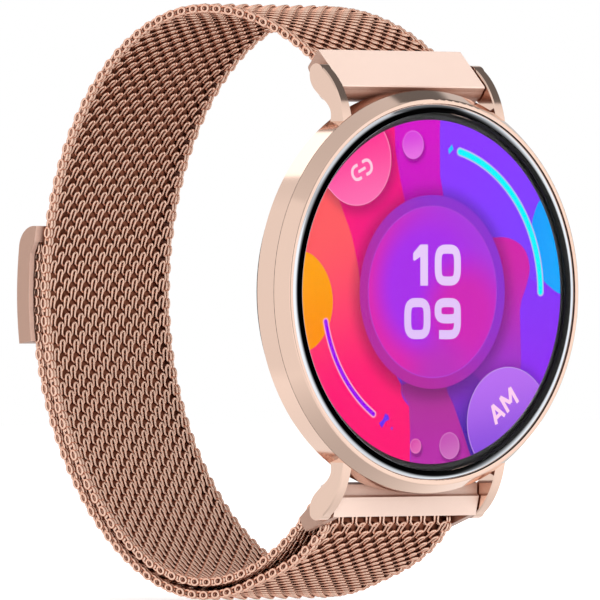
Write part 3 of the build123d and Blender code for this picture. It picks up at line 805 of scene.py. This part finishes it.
def makeDialBorder():
    front = dial["deep"] - dial["borderLayer"] * dial["layerStep"]
    back = front + border["thick"]
    inner, outer = border["inner"], border["outer"]
    ink = plainMaterial("borderInk", (0.0015, 0.0015, 0.0015), 0.4)
    printed = ringPiece("dialBorder", [(inner, front), (outer, front), (outer, back), (inner, back)], ink)
    finishPiece(printed, "case")
    steps = border["edgeSteps"]
    span = border["edgeOuter"] - border["edgeInner"]
    radii = [border["edgeInner"] + span * i / steps for i in range(steps + 1)]
    outside = [(r, glassSurface(min(r, glassCurve["rim"][0])) - border["lift"]) for r in radii]
    inside = [(r, deep + border["edgeThick"]) for r, deep in reversed(outside)]
    edge = ringPiece("glassEdge", outside + inside, glassEdgeMaterial())
    finishPiece(edge, "case")


# mm: the weave's sizes; hairpin holds the sine terms of a bend's sideways swing
band = {"halfWidth": 9.0, "rowPitch": 0.97, "linkPitch": 1.94, "turns": 9, "wire": 0.15, "reach": 0.80,
        "bow": 0.42, "dip": 0.42, "hairpin": (-0.261, 0.2175, -0.036), "steps": 13, "sides": 5}
# long and high are shares of a row's pitch and of its bow; stagger and apart are mm between edge loops
edging = {"segments": 14, "long": 0.56, "high": 0.85, "stagger": 0.22, "apart": 0.36}
# wide is a share of the weave's half width
core = {"sides": 8, "segments": 6, "wide": 1.88, "long": 0.52, "high": 0.16}
# mm and degrees, 0 at 12 o'clock and 90 at the back: the route of the strip and where it bends
loop = {"centreY": 28.0, "centreZ": -0.35, "high": 30.8, "back": 26.4, "front": 32.0, "flat": 0.02,
        "start": -37, "fold": 222, "foldRadius": 1.475, "foldSteps": 24, "tailRises": 196, "tailEnd": 80,
        "tailMiddle": 124, "tailLift": 1.40, "upperFlex": 45.0, "lowerFlex": 135.0, "peel": 112.0,
        "spread": 7.0}


def bandPoint(angle, lift=0.0):
    # (depth, height) in mm on the loop's centre line, or lifted outwards from it
    a = math.radians(angle)
    deep = loop["front"] if angle < 0 else loop["back"]
    flat = 1 - loop["flat"] * math.sin(2 * a) ** 2 if 90 < angle < 180 else 1.0
    out = Vector((math.sin(a) / deep, math.cos(a) / loop["high"])).normalized()
    return Vector((loop["centreY"] + flat * deep * math.sin(a),
                   loop["centreZ"] + flat * loop["high"] * math.cos(a))) + out * lift


def tailLift(angle):
    # the tail lies on the main layer, and eases out to the fold
    t = min(max((angle - loop["tailRises"]) / (loop["fold"] - loop["tailRises"]), 0), 1)
    return loop["tailLift"] + (2 * loop["foldRadius"] - loop["tailLift"]) * t * t * (3 - 2 * t)


def bandRoute():
    # centre line of the whole strip, with the length run at each marked angle
    points = []
    marks = {}

    def run():
        return sum((points[i + 1] - points[i]).length for i in range(len(points) - 1))

    for angle in range(loop["start"], loop["fold"] + 1):
        points.append(bandPoint(angle))
        if angle == 90:
            marks["back"] = run()
    marks["foldStart"] = run()
    bar = bandPoint(loop["fold"], loop["foldRadius"])
    arm = points[-1] - bar
    for step in range(1, loop["foldSteps"]):
        a = math.pi * step / loop["foldSteps"]
        points.append(bar + Vector((arm.x * math.cos(a) - arm.y * math.sin(a),
                                    arm.x * math.sin(a) + arm.y * math.cos(a))))
    for angle in range(loop["fold"], loop["tailEnd"] - 1, -1):
        points.append(bandPoint(angle, tailLift(angle)))
        if angle == loop["tailMiddle"]:
            marks["tailMiddle"] = run()
    marks["end"] = run()
    return points, marks


def makeRouteObject(points):
    curve = bpy.data.curves.new("bandRoute", "CURVE")
    curve.dimensions = "3D"
    spline = curve.splines.new("POLY")
    spline.points.add(len(points) - 1)
    for slot, point in zip(spline.points, points):
        slot.co = (0, frontY + point.x * mm, point.y * mm, 1)
    route = bpy.data.objects.new("bandRoute", curve)
    bpy.context.scene.collection.objects.link(route)
    return route


def hairpinRow(tree, given, face, offset):
    # one wire bent into a row of hairpins: x across the band, y along it, z out of it
    # face is the side it bows to, and offset is 1 on the rows that stand half a link aside
    line = makeNode(tree, "GeometryNodeCurvePrimitiveLine")
    turns = mathNode(tree, "SUBTRACT", given["Turns"], abs(offset))
    amount = mathNode(tree, "MULTIPLY_ADD", turns, float(band["steps"]), 1.0)
    fine = makeNode(tree, "GeometryNodeResampleCurve", {"Curve": line.outputs[0], "Count": amount})
    index = makeNode(tree, "GeometryNodeInputIndex").outputs[0]
    turn = mathNode(tree, "SUBTRACT", mathNode(tree, "DIVIDE", index, float(band["steps"])),
                    mathNode(tree, "MULTIPLY", turns, 0.5))
    parity = mathNode(tree, "MULTIPLY", turns, 0.5)
    phase = mathNode(tree, "ADD", turn, mathNode(tree, "ADD", parity, 0.5))
    angle = mathNode(tree, "MULTIPLY", phase, 2 * math.pi)
    across = mathNode(tree, "MULTIPLY", turn, given["Link Pitch"])
    for number, share in enumerate(band["hairpin"], 1):
        wave = mathNode(tree, "SINE", mathNode(tree, "MULTIPLY", angle, float(number)))
        across = mathNode(tree, "MULTIPLY_ADD", wave, share * mm, across)
    swing = mathNode(tree, "COSINE", angle)
    along = mathNode(tree, "MULTIPLY", mathNode(tree, "MULTIPLY", swing, given["Reach"]), -1.0)
    lift = mathNode(tree, "MULTIPLY_ADD", swing, band["dip"], 1 - band["dip"])    # one end of a bend dips in
    out = mathNode(tree, "MULTIPLY", mathNode(tree, "MULTIPLY", lift, given["Bow"]), float(face))
    place = makeNode(tree, "ShaderNodeCombineXYZ", {0: across, 1: along, 2: out})
    return makeNode(tree, "GeometryNodeSetPosition", {"Geometry": fine.outputs[0],
                                                      "Position": place.outputs[0]}).outputs[0]


def reshape(tree, geometry, **change):
    return makeNode(tree, "GeometryNodeTransform", {"Geometry": geometry, **change}).outputs[0]


def edgeLoops(tree, given, setIn):
    # the rounded loops that close a row at both edges, two side by side
    join = makeNode(tree, "GeometryNodeJoinGeometry")
    ring = makeNode(tree, "GeometryNodeCurvePrimitiveCircle", {"Resolution": edging["segments"],
                                                               "Radius": 1.0})
    upright = reshape(tree, ring.outputs[0], Rotation=(0.0, math.pi / 2, 0.0))
    size = makeNode(tree, "ShaderNodeCombineXYZ", {
        0: 1.0, 1: mathNode(tree, "MULTIPLY", given["Row Pitch"], edging["long"]),
        2: mathNode(tree, "MULTIPLY", given["Bow"], edging["high"])})
    shaped = reshape(tree, upright, Scale=size.outputs[0])
    for inward in (setIn, setIn + edging["apart"]):
        place = mathNode(tree, "SUBTRACT", given["Edge Place"], inward * mm)
        for side in (1.0, -1.0):
            shift = makeNode(tree, "ShaderNodeCombineXYZ", {0: mathNode(tree, "MULTIPLY", place, side)})
            tree.links.new(reshape(tree, shaped, Translation=shift.outputs[0]), join.inputs[0])
    return join.outputs[0]


def shadedCoreWire(tree, given):
    # the strands hidden inside each row, as one flattened wire that closes the view through the mesh, in a
    # dark finish that is painted shade
    rod = makeNode(tree, "GeometryNodeMeshCylinder", {"Vertices": core["sides"], "Radius": 1.0, "Depth": 1.0,
                                                      "Side Segments": core["segments"]})
    lying = reshape(tree, rod.outputs["Mesh"], Rotation=(0.0, math.pi / 2, 0.0))
    size = makeNode(tree, "ShaderNodeCombineXYZ", {
        0: mathNode(tree, "MULTIPLY", given["Edge Place"], core["wide"]),
        1: mathNode(tree, "MULTIPLY", given["Row Pitch"], core["long"]),
        2: mathNode(tree, "MULTIPLY", given["Bow"], core["high"])})
    return reshape(tree, lying, Scale=size.outputs[0])


def wovenTree():
    # rows of bent wire set along the route, every other row half a link aside
    tree = bpy.data.node_groups.new("wovenBand", "GeometryNodeTree")
    tree.interface.new_socket("Geometry", in_out="OUTPUT", socket_type="NodeSocketGeometry")
    tree.interface.new_socket("Geometry", in_out="INPUT", socket_type="NodeSocketGeometry")
    sizes = {"First Row": 0, "Row Count": 10, "Turns": band["turns"], "Row Pitch": band["rowPitch"] * mm,
             "Link Pitch": band["linkPitch"] * mm, "Wire Radius": band["wire"] * mm,
             "Reach": band["reach"] * mm, "Bow": band["bow"] * mm,
             "Edge Place": (band["halfWidth"] - band["wire"]) * mm}
    for label, value in sizes.items():
        kind = "NodeSocketInt" if isinstance(value, int) else "NodeSocketFloat"
        tree.interface.new_socket(label, in_out="INPUT", socket_type=kind).default_value = value
    for label in ("Finish", "Core Shade Finish"):
        tree.interface.new_socket(label, in_out="INPUT", socket_type="NodeSocketMaterial")
    given = makeNode(tree, "NodeGroupInput").outputs
    out = makeNode(tree, "NodeGroupOutput")
    section = makeNode(tree, "GeometryNodeCurvePrimitiveCircle", {"Resolution": band["sides"],
                                                                  "Radius": given["Wire Radius"]})
    rows = makeNode(tree, "GeometryNodeGeometryToInstance")
    wires = [makeNode(tree, "GeometryNodeJoinGeometry") for offset in (0, 1)]
    for bent, offset in zip(wires, (0.0, 1.0)):
        tree.links.new(edgeLoops(tree, given, edging["stagger"] * offset), bent.inputs[0])
        for face in (1, -1):
            tree.links.new(hairpinRow(tree, given, face, offset), bent.inputs[0])
    for bent in reversed(wires):    # the input counts from the last one linked
        solid = makeNode(tree, "GeometryNodeCurveToMesh", {"Curve": bent.outputs[0], "Fill Caps": True,
                                                           "Profile Curve": section.outputs[0]})
        shown = makeNode(tree, "GeometryNodeSetMaterial", {0: solid.outputs[0], "Material": given["Finish"]})
        hidden = makeNode(tree, "GeometryNodeSetMaterial", {0: shadedCoreWire(tree, given),
                                                            "Material": given["Core Shade Finish"]})
        row = makeNode(tree, "GeometryNodeJoinGeometry")
        tree.links.new(shown.outputs[0], row.inputs[0])
        tree.links.new(hidden.outputs[0], row.inputs[0])
        tree.links.new(row.outputs[0], rows.inputs[0])
    number = mathNode(tree, "ADD", makeNode(tree, "GeometryNodeInputIndex").outputs[0], given["First Row"])
    run = mathNode(tree, "MULTIPLY", mathNode(tree, "ADD", number, 0.5), given["Row Pitch"])
    sample = makeNode(tree, "GeometryNodeSampleCurve", {"Curves": given["Geometry"], "Length": run},
                      mode="LENGTH")
    points = makeNode(tree, "GeometryNodePoints", {"Count": given["Row Count"],
                                                   "Position": sample.outputs["Position"]})
    heading = makeNode(tree, "ShaderNodeSeparateXYZ", {0: sample.outputs["Tangent"]})
    tilt = mathNode(tree, "ARCTAN2", heading.outputs["Z"], heading.outputs["Y"])
    turn = makeNode(tree, "ShaderNodeCombineXYZ", {0: tilt})
    kept = makeNode(tree, "GeometryNodeStoreNamedAttribute",
                    {"Geometry": points.outputs[0], "Name": "tilt", "Value": turn.outputs[0]},
                    data_type="FLOAT_VECTOR", domain="POINT")
    tiltBack = makeNode(tree, "GeometryNodeInputNamedAttribute", {"Name": "tilt"}, data_type="FLOAT_VECTOR")
    odd = mathNode(tree, "MODULO", number, 2.0)
    laid = makeNode(tree, "GeometryNodeInstanceOnPoints",
                    {"Points": kept.outputs[0], "Instance": rows.outputs[0], "Pick Instance": True,
                     "Instance Index": odd, "Rotation": tiltBack.outputs[0]})
    real = makeNode(tree, "GeometryNodeRealizeInstances", {0: laid.outputs[0]})
    soft = makeNode(tree, "GeometryNodeSetShadeSmooth", {0: real.outputs[0]})
    tree.links.new(soft.outputs[0], out.inputs[0])
    return tree


def runTree(name, tree, source, inputs):
    # the tree's result as a plain mesh piece
    holder = bpy.data.objects.new(name + "Source", source.copy())
    bpy.context.scene.collection.objects.link(holder)
    modifier = holder.modifiers.new("build", "NODES")
    modifier.node_group = tree
    for item in tree.interface.items_tree:
        if item.item_type == "SOCKET" and item.in_out == "INPUT" and item.name in inputs:
            modifier[item.identifier] = inputs[item.name]
    graph = bpy.context.evaluated_depsgraph_get()
    mesh = bpy.data.meshes.new_from_object(holder.evaluated_get(graph), depsgraph=graph)
    bpy.data.objects.remove(holder)
    mesh.name = name
    piece = bpy.data.objects.new(name, mesh)
    bpy.context.scene.collection.objects.link(piece)
    return piece


def makeBand():
    points, marks = bandRoute()
    route = makeRouteObject(points)
    tree = wovenTree()
    rowsTo = {name: round(length / band["rowPitch"]) for name, length in marks.items()}
    print("band rows:", rowsTo, "length", round(marks["end"], 1), "mm")
    # first row, last row, the two bodies and the angle and lift where it bends, the nodes it stands for
    stretches = {
        "upperWeave": (0, rowsTo["back"], "upper_band", "back_band", loop["upperFlex"], 0.0, ["upper_mesh"]),
        "backWeave": (rowsTo["back"], rowsTo["foldStart"], "back_band", "lower_band", loop["lowerFlex"], 0.0,
                      ["back_mesh", "lower_mesh"]),
        "foldWeave": (rowsTo["foldStart"], rowsTo["tailMiddle"], "lower_band", "tail", loop["lowerFlex"], 0.0,
                      ["fold_mesh", "lower_tail_mesh"]),
        "tailWeave": (rowsTo["tailMiddle"], rowsTo["end"], "tail", "tab", loop["peel"], loop["tailLift"],
                      ["tail_mesh", "tail_end_mesh"]),
    }
    for name, (first, last, bodyA, bodyB, flex, lift, nodes) in stretches.items():
        piece = runTree(name, tree, route.data, {"First Row": first, "Row Count": last - first,
                                                 "Finish": roseWire, "Core Shade Finish": wireShade})
        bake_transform(piece)
        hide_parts(*nodes)
        print(name, len(piece.data.polygons), "faces")
    bpy.data.objects.remove(route)


makeCamera()
makeWorld()
makeFloor()
makeSoftFill()
dressNodes()
print("studio and finishes ready")
makeDialBackground()
makeSoftDiscs()
makeCentreDisc()
makeDigits()
makeArcsAndIcons()
makeNoonLetters()
makeDialBorder()
print("display picture ready")
makeBand()
print("band woven")
